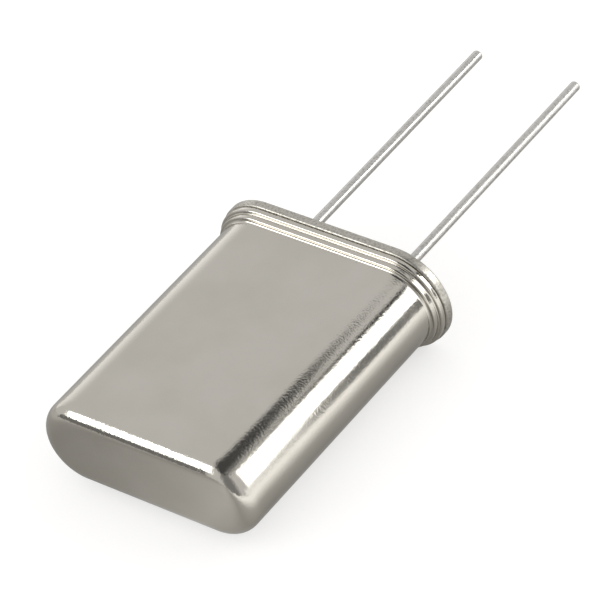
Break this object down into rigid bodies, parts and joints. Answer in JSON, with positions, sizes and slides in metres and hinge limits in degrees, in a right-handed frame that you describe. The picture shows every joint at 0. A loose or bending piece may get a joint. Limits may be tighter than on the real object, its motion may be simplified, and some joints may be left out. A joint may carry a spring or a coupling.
{
  "type": "crystal oscillator",
  "caption": "Flat rounded metal can with a stepped welded flange and two straight wire leads; times a circuit with a quartz blank sealed inside.",
  "frame": {"origin": "centre of the header's seating face, midway between the leads", "axes": "+Y along the leads, out of the can; +X across the can from one lead towards the other; +Z through the thickness, up from the flat side that the part lies on"},
  "size_m": [0.011, 0.0274, 0.0046],
  "materials": {
    "plated_can": "satin",
    "plated_header": "satin",
    "seal_glass": "gloss",
    "tinned_lead": "satin",
    "nickel_strip": "satin",
    "quartz": "polished",
    "silver_film": "polished",
    "silver_adhesive": "matte"
  },
  "bodies": {
    "root": {"can": "plated_can", "header": "plated_header", "glass_bead_left": "seal_glass", "glass_bead_right": "seal_glass", "lead_left": "tinned_lead", "lead_right": "tinned_lead", "clip_left": "nickel_strip", "clip_right": "nickel_strip", "quartz_blank": "quartz", "electrode_top": "silver_film", "electrode_bottom": "silver_film", "adhesive_left_top": "silver_adhesive", "adhesive_left_bottom": "silver_adhesive", "adhesive_right_top": "silver_adhesive", "adhesive_right_bottom": "silver_adhesive"}
  },
  "joints": []
}
